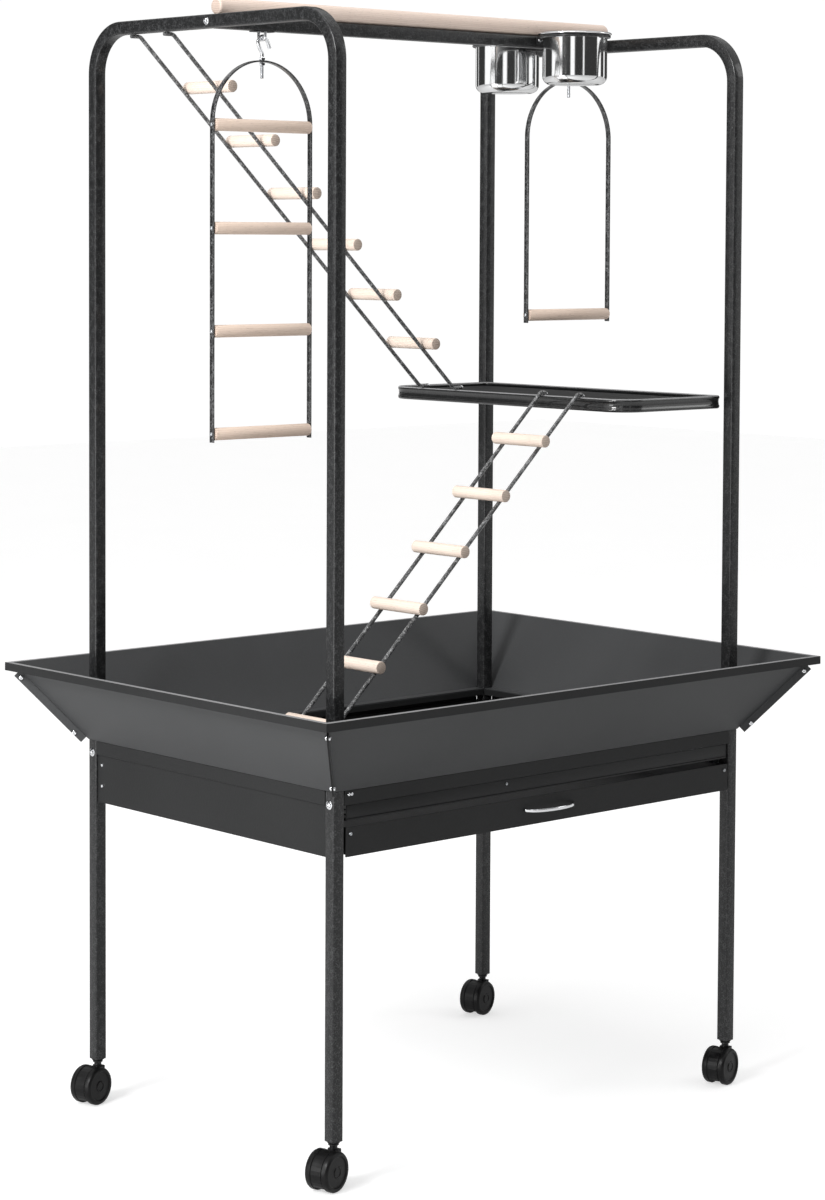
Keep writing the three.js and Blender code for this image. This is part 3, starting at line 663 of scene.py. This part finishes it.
# %% Hanging arches, hooks and rung screws
def rung_screw():
    bm = bmesh.new()
    lathe(bm, [(0, 0), (3.6 * MM, 0), (3.6 * MM, 0.5 * MM), (2.9 * MM, 1.6 * MM), (1.6 * MM, 2.1 * MM),
               (1.3 * MM, 1.3 * MM), (0, 1.2 * MM)], (0, 0, 0), Z, 20)
    return shape(bm)


STRAP_WIDE, STRAP_THICK = 9 * MM, 2.5 * MM
HOOK_WIRE = 2.5 * MM
PITCH = 0.9 * MM
for name in ("hanging_ladder", "swing"):
    low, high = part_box(name + "_arch")
    x = (low.x + high.x) / 2
    spread, crown = (high.x - low.x) / 2 - STRAP_THICK / 2, high.z - STRAP_THICK / 2
    bm = bmesh.new()
    corners = [(x - spread, 0, low.z), (x - spread, 0, crown), (x + spread, 0, crown), (x + spread, 0, low.z)]
    sweep(bm, rounded_rect(STRAP_WIDE, STRAP_THICK, 0.8 * MM, 3), rounded(corners, spread * 0.9999, 24), Y)
    piece(name + "_strap", bm, STRAP_COAT, name, [name + "_arch"])
    nodes = sorted(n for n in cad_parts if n.startswith(name + "_rung"))
    ends = [(Vector((x + way * (spread + STRAP_THICK / 2), 0, middle(node).z)), X * way)
            for node in nodes for way in (-1, 1)]
    copies(name + "_screws", rung_screw(), ends, ZINC, name, spin=ANY_SPIN, size=0.85)

    hook_low, hook_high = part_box(name + "_hook")
    crest, stud = hook_high.z - HOOK_WIRE, hook_low.z
    bm = bmesh.new()
    sweep(bm, circle(HOOK_WIRE, 14), flowing([
        (x + dx * MM, 0, z) for dx, z in (
            (14, crest - 17 * MM), (9, crest - 6 * MM), (1, crest), (-7, crest - 7 * MM),
            (-5, crest - 16 * MM), (0, crest - 25 * MM), (0, crown + 3 * MM))]), Y)
    piece(name + "_hook_wire", bm, CHROME, name + "_hook", [name + "_hook"])
    bm = bmesh.new()
    turns = int((crown + 4 * MM - stud) / PITCH)
    thread = [(0, stud), *[(r * MM, stud + (i + part) * PITCH) for i in range(turns)
                           for r, part in ((2.1, 0.0), (2.6, 0.5))], (0, stud + turns * PITCH)]
    lathe(bm, thread, (x, 0, 0), Z, 16)
    for z in (crown + 3.4 * MM, crown - 4 * MM):
        lathe(bm, [(2.3 * MM, z - 1.8 * MM), (4.2 * MM, z - 1.8 * MM), (4.7 * MM, z - 1.3 * MM),
                   (4.7 * MM, z + 1.3 * MM), (4.2 * MM, z + 1.8 * MM), (2.3 * MM, z + 1.8 * MM),
                   (2.3 * MM, z - 1.8 * MM)], (x, 0, 0), Z, 6)
    bmesh.ops.remove_doubles(bm, verts=bm.verts, dist=1e-6)
    piece(name + "_stud", bm, CHROME, name + "_hook", crease=25)

# %% [markdown]
# ## Bowls and their rings
#
# A drawn steel bowl has a bright round foot, an upright wall and a rolled lip that rests on a wire ring. The
# ring is welded to a plate bolted to the side of the crossbar.

# %% Bowls
RING_WIRE = 2.2 * MM
LIP_BELOW_TOP = 4.3 * MM  # the height of the rolled lip, which rests on the ring
for depth, sign in (("front", -1), ("rear", 1)):
    low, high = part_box(f"{depth}_bowl")
    x, y = middle(f"{depth}_bowl").x, middle(f"{depth}_bowl").y
    lip, top, foot = (high.x - low.x) / 2, high.z, low.z
    r, wall = lip - 7 * MM, 1.0 * MM
    turn = 13 * MM
    fillet = [(r - turn + turn * math.sin(t), foot + turn - turn * math.cos(t))
              for t in (math.pi / 2 * i / 8 for i in range(9))]
    roll = [(r + 1.0 * MM + (lip - r - 1.0 * MM) * math.sin(t), top - 2.2 * MM - 2.2 * MM * math.cos(t))
            for t in (math.pi * i / 10 for i in range(11))]
    inside = [(r - turn + (turn - wall) * math.sin(t), foot + turn - (turn - wall) * math.cos(t))
              for t in (math.pi / 2 * i / 8 for i in range(8, -1, -1))]
    profile = [(0, foot + 1.4 * MM), (r - 20 * MM, foot + 1.2 * MM), (r - 15 * MM, foot), *fillet,
               (r, foot + turn + 2 * MM), (r, top - 10 * MM), (r, top - 7 * MM), *roll,
               (r - wall * 0.2, top - 1.2 * MM), (r - wall, top - 4 * MM), *inside,
               (r - 20 * MM, foot + 2.2 * MM), (0, foot + 2.4 * MM)]
    bm = bmesh.new()
    lathe(bm, profile, (x, y, 0), Z, 96)
    piece(f"{depth}_steel_bowl", bm, STAINLESS, f"{depth}_bowl", [f"{depth}_bowl"], crease=50)

    hold_low, hold_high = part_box(f"{depth}_bowl_holder")
    ring = (hold_high.x - hold_low.x) / 2 - RING_WIRE
    level = top - LIP_BELOW_TOP - RING_WIRE
    bm = bmesh.new()
    loop = [Vector((x + ring * math.cos(t), y + ring * math.sin(t), level))
            for t in (2 * math.pi * i / 72 for i in range(72))]
    sweep(bm, circle(RING_WIRE, 12), loop, Z, closed=True)
    face = sign * (HALF + GAP)
    for wide, near, far, below, above in ((20, 0, 2, 10, 1.8), (7, 1, 19.7, 1.5, 1.5)):
        ends = sorted((face + sign * near * MM, face + sign * far * MM))
        slab(bm, (x - wide * MM, ends[0], level - below * MM), (x + wide * MM, ends[1], level + above * MM),
             0.5 * MM)
    piece(f"{depth}_bowl_ring", bm, HAMMERED, "stand", [f"{depth}_bowl_holder"])

# %% [markdown]
# ## Platform
#
# The rim is a rolled strip with a bead along its top and bottom edges and a waist between them, bent round
# two wide corners. A flat sheet lies just below the rim's top.

# %% Platform
LEFT_BEND, RIGHT_BEND = 42 * MM, 12 * MM
SHEET_DROP, SHEET_THICK = 8 * MM, 2 * MM


def plan(inset, z):
    left, right = RIM_LOW.x + inset, RIM_HIGH.x - inset
    if RIM_HIGH.x > POST_X - HALF:
        right = POST_X - HALF - GAP - inset
    y = RIM_HIGH.y - inset
    corners = [(left, -y, z), (right, -y, z), (right, y, z), (left, y, z)]
    return rounded(corners, [bend - inset for bend in (LEFT_BEND, RIGHT_BEND, RIGHT_BEND, LEFT_BEND)], 12, True)


RIM_HEIGHT = RIM_HIGH.z - RIM_LOW.z
bead, thick = 3.2 * MM, 1.1 * MM
half_outline = [(RIM_HEIGHT / 2 - bead + bead * math.sin(t), bead * 0.8 * math.cos(t))
                for t in (math.radians(a) for a in range(-50, 91, 14))]
section = [(-a, b) for a, b in reversed(half_outline)] + [(0.0, thick)] + half_outline
section += [(a, -b) for a, b in reversed(section)]
section = list(dict.fromkeys((round(a, 7), round(b, 7)) for a, b in section))
bm = bmesh.new()
sweep(bm, section, plan(2.5 * MM, (RIM_LOW.z + RIM_HIGH.z) / 2), Z, closed=True)
# The rim's topmost faces wear the painted highlight coat.
piece("platform_rim", bm, GLOSSY, "stand", ["platform"], crease=60,
      parts=[(PAINTED_HIGHLIGHT_EDGE, lambda face: face.center.z > RIM_HIGH.z - 1.6 * MM)])

bm = bmesh.new()
face = bm.faces.new([bm.verts.new(point) for point in plan(3.2 * MM, RIM_HIGH.z - SHEET_DROP)])
raised = bmesh.ops.extrude_face_region(bm, geom=[face])
bmesh.ops.translate(bm, vec=(0, 0, SHEET_THICK),
                    verts=[v for v in raised["geom"] if isinstance(v, bmesh.types.BMVert)])
piece("platform_sheet", bm, DARK_SHEET, "stand")

# %% [markdown]
# ## Base and skirt
#
# The base is folded sheet: an apron on three sides with a rail along its top, and a rail with a lip over the
# drawer. The skirt's four panels flare out from it, with a folded hem and bolted seams at the corners.

# %% Base sheets
for node in ("front_rail", "left_apron", "right_apron", "rear_apron"):
    folded(node, DARK_SHEET, "stand")
HEM_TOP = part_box("front_skirt")[1].z
SKIRT_PARTS = [
    (DARK_SHEET, lambda face: face.center.z > HEM_TOP - 12.5 * MM and abs(face.normal.z) < 0.3),
    (DARK_SHEET, lambda face: abs(abs(face.center.x) - abs(face.center.y) - POST_X + POST_Y) < 1.7 * MM),
    # the hem's top faces: a painted highlight
    (PAINTED_HIGHLIGHT_EDGE, lambda face: face.center.z > HEM_TOP - 0.7 * MM),
]
for node in ("front_skirt", "left_skirt", "right_skirt", "rear_skirt"):
    folded(node, SHEET, "stand", 0.55 * MM, SKIRT_PARTS, 1 * MM)
for node in ("left_runner", "right_runner"):
    folded(node, ZINC, "stand", 0.4 * MM)
folded("drawer_tray", DARK_SHEET, "drawer", 0.4 * MM)

# %% [markdown]
# ## Grate
#
# The grate is a frame of flat bar with round rods across it, and a lip at the front that closes the slot.

# %% Grate
low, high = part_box("grate")
RUNGS_ACROSS = 31
bm = bmesh.new()
slab(bm, (low.x, low.y, low.z), (high.x, low.y + 18 * MM, low.z + 4 * MM), 0.6 * MM)
slab(bm, (low.x, high.y - 6 * MM, low.z), (high.x, high.y, low.z + 4 * MM), 0.6 * MM)
for x in (low.x, high.x - 6 * MM):
    slab(bm, (x, low.y + 16 * MM, low.z + 0.1 * MM), (x + 6 * MM, high.y - 4 * MM, low.z + 3.9 * MM),
         0.6 * MM)
slab(bm, (low.x, low.y, low.z + 2 * MM), (high.x, low.y + 1.5 * MM, high.z), 0.4 * MM)
piece("grate_frame", bm, DARK_SHEET, "grate", ["grate"])
bm = bmesh.new()
half = (high.y - low.y) / 2 - 6 * MM
lathe(bm, [(0, -half), (1.6 * MM, -half), (1.6 * MM, half), (0, half)], (0, 0, 0), Z, 10)
rods = [(Vector((low.x + (high.x - low.x) * i / (RUNGS_ACROSS + 1), (low.y + high.y) / 2, low.z + 2 * MM)), Y)
        for i in range(1, RUNGS_ACROSS + 1)]
copies("grate_rods", shape(bm), rods, HAMMERED, "grate")

# %% [markdown]
# ## Drawer handle
#
# A flat plated bow, thin in plan and a little deeper on its face, screwed on through the drawer's front.

# %% Handle
low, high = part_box("drawer_handle")
mid, root = middle("drawer_handle"), high.y
bm = bmesh.new()
reach = root - low.y
bow = [(-48, 0), (-47, 0.18), (-39, 0.6), (-24, 0.86), (0, 0.99), (24, 0.86), (39, 0.6), (47, 0.18), (48, 0)]
sweep(bm, rounded_rect(5 * MM, 2.6 * MM, 1.2 * MM, 4),
      flowing([(mid.x + dx * MM, root - share * (reach - 1.7 * MM), mid.z) for dx, share in bow]), Z)
piece("handle_bow", bm, CHROME, "drawer", ["drawer_handle"])

# %% [markdown]
# ## Casters
#
# A twin-wheel caster: a moulded hood between two flat-faced wheels, on a steel stem that plugs into the leg.

# %% Casters
# The way the axles point at rest, a little off the short side.
heading = Vector((0.25545, -0.96682, 0)).normalized()


def wheel_profile(sign):
    r, inner, face = 28 * MM, 8.9 * MM, 19 * MM
    side = [(0, face - 1.2 * MM), (6 * MM, face - 1.2 * MM), (7 * MM, face - 0.4 * MM),
            (8.5 * MM, face - 1.6 * MM),
            (r - 7 * MM, face - 1.9 * MM), (r - 6 * MM, face - 0.3 * MM), (r - 3.5 * MM, face),
            (r - 1.2 * MM, face - 1.2 * MM), (r, face - 3.4 * MM), (r, inner + 1 * MM), (r - 1 * MM, inner),
            (0, inner)]
    return [(radius, sign * along) for radius, along in side]


for depth, end, x, y in LEGS:
    label = f"{depth}_{end}"
    axle = middle(label + "_caster_wheels")
    folded(label + "_caster_hood", BLACK_NYLON, label + "_caster", 0.8 * MM)
    bm = bmesh.new()
    lathe(bm, [(0, 54 * MM), (5.4 * MM, 54 * MM), (5.4 * MM, 60 * MM), (7.5 * MM, 60 * MM), (7.5 * MM, 61.5 * MM),
               (5.45 * MM, 61.5 * MM), (5.45 * MM, 64.6 * MM), (0, 64.6 * MM)], (x, y, 0), Z, 32)
    piece(label + "_stem", bm, HAMMERED, label + "_caster")
    bm = bmesh.new()
    for sign in (1, -1):
        lathe(bm, wheel_profile(sign), axle, heading, 64)
    lathe(bm, [(0, -9.5 * MM), (2.8 * MM, -9.5 * MM), (2.8 * MM, 9.5 * MM), (0, 9.5 * MM)], axle, heading, 20)
    piece(label + "_twin_wheels", bm, BLACK_NYLON, label + "_wheels", [label + "_caster_wheels"])

# %% [markdown]
# ## Screws
#
# Pan heads hold the arches to the crossbar, the legs to the base, the aprons, the skirt seams and the bowl
# plates. One head shape is repeated at every hole, each turned a little differently.

# %% Screws and rivets
def pan_head(washer):
    bm = bmesh.new()
    lathe(bm, [(0, 0), (washer, 0), (washer, 0.6 * MM), (4.2 * MM, 0.9 * MM), (4.2 * MM, 1.5 * MM),
               (3.6 * MM, 2.7 * MM), (2.2 * MM, 3.3 * MM), (1.7 * MM, 3.2 * MM), (1.2 * MM, 2.0 * MM),
               (0, 1.9 * MM)], (0, 0, 0), Z, 24)
    return shape(bm)


FACE_X, FACE_Y = POST_X + HALF, POST_Y + HALF
bolts = [(Vector((sign * FACE_X, 0, BAR_Z)), X * sign) for sign in (-1, 1)]
BOLT_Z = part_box("left_skirt")[0].z - 14 * MM
for sx in (-1, 1):
    for sy in (-1, 1):
        bolts.append((Vector((sx * FACE_X, sy * POST_Y, BOLT_Z)), X * sx))
copies("frame_bolts", pan_head(6.2 * MM), bolts, CHROME, "stand", spin=ANY_SPIN)

rail_low, rail_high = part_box("front_rail")
screws = [(Vector((HALF - POST_X + inset * MM, rail_low.y, rail_high.z - 5 * MM)), -Y) for inset in (7, 12)]
for sx in (-1, 1):
    for sy in (-1, 1):
        for share in (0.62, 0.28) if (sx, sy) != (-1, -1) else ():
            apron_low, apron_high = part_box("left_apron" if sx < 0 else "right_apron")
            z = apron_low.z + (apron_high.z - apron_low.z) * share
            screws.append((Vector((sx * (FACE_X - 3 * MM), sy * (POST_Y - HALF - 12 * MM), z)), X * sx))
    for bowl_y in (-1, 1):
        x = middle("front_bowl").x + sx * 14 * MM
        screws.append((Vector((x, bowl_y * (HALF + 2.3 * MM), BAR_Z + 2 * MM)), Y * bowl_y))
copies("small_screws", pan_head(4.3 * MM), screws, CHROME, "stand", spin=ANY_SPIN, size=0.62)

tray_low, tray_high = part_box("drawer_tray")
rivets = [(Vector((sx * (tray_high.x - 8 * MM), tray_low.y, tray_high.z - 9 * MM)), -Y) for sx in (-1, 1)]
grate_low, grate_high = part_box("grate")
LIP_SCREW_X = -82 * MM
lip_screw = Vector((LIP_SCREW_X, grate_low.y, grate_high.z - 6 * MM))
copies("grate_screw", pan_head(4.3 * MM), [(lip_screw, -Y)], ZINC, "grate", size=0.5)
copies("drawer_rivets", pan_head(4.3 * MM), rivets, ZINC, "drawer", spin=ANY_SPIN, size=0.6)

skirt_low, skirt_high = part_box("left_skirt")
flare = abs(skirt_low.x) - FACE_X - 7.5 * MM
rise = skirt_high.z - skirt_low.z
seam_length = math.hypot(flare * math.sqrt(2), rise)
SEAM_OUT, SEAM_SIDE = 5.5 * MM, 1.35 * MM  # from the skirt's corner to a bolt head
seams = []
for sx in (-1, 1):
    for sy in (-1, 1):
        away = Vector((sx, sy, 0)).normalized()
        edge = Vector((sx * flare, sy * flare, rise)).normalized()
        out = (away - edge * away.dot(edge)).normalized()
        foot = Vector((sx * FACE_X, sy * FACE_Y, skirt_low.z))
        flat = edge.cross(out).normalized()
        for share in (0.15, 0.84):
            for way in (-1, 1):
                head = foot + edge * seam_length * share + out * SEAM_OUT + flat * way * SEAM_SIDE
                seams.append((head, flat * way))
copies("seam_bolts", pan_head(4.3 * MM), seams, CHROME, "stand", spin=ANY_SPIN, size=0.85)

# %% [markdown]
# ## Studio
#
# A pale floor under soft light: a strong softbox at the left, weak ones at the right, above and low down.
# Eight dark bands around the room give the polished bowls something to mirror. The floor throws less light on
# the stand than it shows to the camera, so that the dark sheet stays dark.

# %% Floor, lights and camera
def pale_floor():
    look = Look("pale_floor", None, Specular_IOR_Level=0.1, Emission_Strength=1.0)
    here = look.across((1, 1, 1))
    seen = look.node("ShaderNodeLightPath", {}, {}).outputs["Is Camera Ray"]
    look.put(look.surface.inputs["Emission Color"], look.mix(seen, (0.16, 0.16, 0.16), (0.56, 0.56, 0.56)))
    return look.show(look.mix(look.noise(here, 3, 2), (0.6, 0.6, 0.6), (0.64, 0.64, 0.64)), 0.9,
                     look.noise(here, 60, 2), 0.05 * MM, 0.1)


def plate(name, corners, material):
    mesh = bpy.data.meshes.new(name)
    mesh.from_pydata(corners, [], [(0, 1, 2, 3)])
    mesh.materials.append(material)
    made = bpy.data.objects.new(name, mesh)
    bpy.context.scene.collection.objects.link(made)
    return made


plate("floor", [(-12, -12, 0), (12, -12, 0), (12, 12, 0), (-12, 12, 0)], pale_floor().material)

world = bpy.data.worlds.new("white_room")
bpy.context.scene.world = world
world.use_nodes = True
room = Nodes(world.node_tree)
ray = room.node("ShaderNodeTexCoord", {}, {}).outputs["Generated"]
x, y, z = (Number(room, socket) for socket in room.node("ShaderNodeSeparateXYZ", {}, {0: ray}).outputs)
bearing_of = room.number("ShaderNodeMath", {"operation": "ARCTAN2"}, {0: y, 1: x})
BANDS = (  # bearing and half width, in radians
    (-2.95, 0.34), (-2.1, 0.26), (-1.3, 0.46), (-0.35, 0.16), (0.25, 0.3), (0.9, 0.28), (1.5, 0.16), (2.05, 0.34))
panels = None
for at, wide in BANDS:
    edge = abs(bearing_of - at)
    panel = 1 - edge.step(wide - 0.04, wide + 0.04)
    panels = panel if panels is None else panels + panel
low_down = 1 - abs(z).step(0.4, 0.55)
seen = Number(room, room.node("ShaderNodeLightPath", {}, {}).outputs["Is Camera Ray"])
light = 0.76 + low_down * (0.4 - panels * 1.12)
backdrop = world.node_tree.nodes["Background"]
room.put(backdrop.inputs["Strength"], seen * 1.02 + (1 - seen) * light)
backdrop.inputs["Color"].default_value = (1, 1, 1, 1)

EYE = Vector((-3.0215, -3.3549, 1.3042))
bearing, pitch, roll = math.radians(41.885), math.radians(3.046), math.radians(0.275)
ahead = Vector((math.sin(bearing) * math.cos(pitch), math.cos(bearing) * math.cos(pitch), -math.sin(pitch)))


AIM = Vector((0, 0, 0.9))


def softbox(name, where, size, power):
    light = bpy.data.lights.new(name, "AREA")
    light.shape, light.size, light.energy = "SQUARE", size, power
    made = bpy.data.objects.new(name, light)
    made.location = where
    made.rotation_euler = (AIM - Vector(where)).to_track_quat("-Z", "Y").to_euler()
    bpy.context.scene.collection.objects.link(made)


softbox("key_light", (-3.9, -0.6, 2.9), 1.2, 145)
softbox("fill_light", (3.2, -2.2, 2.8), 1.2, 12)
softbox("top_light", (0, 0, 4.6), 2.0, 26)
softbox("low_light", (-3.4, 0.1, 0.4), 1.2, 30)

camera = bpy.data.cameras.new("camera")
camera.sensor_fit, camera.sensor_width, camera.lens = "AUTO", 36, 89.748
camera.shift_y = -0.17  # the uprights stay almost parallel with the eye level high in the picture
viewer = bpy.data.objects.new("camera", camera)
turn = ahead.to_track_quat("-Z", "Y").to_matrix().to_4x4() @ Matrix.Rotation(roll, 4, "Z")
viewer.matrix_world = Matrix.Translation(EYE) @ turn
bpy.context.scene.collection.objects.link(viewer)
bpy.context.scene.camera = viewer
bpy.context.scene.view_settings.view_transform = "Standard"
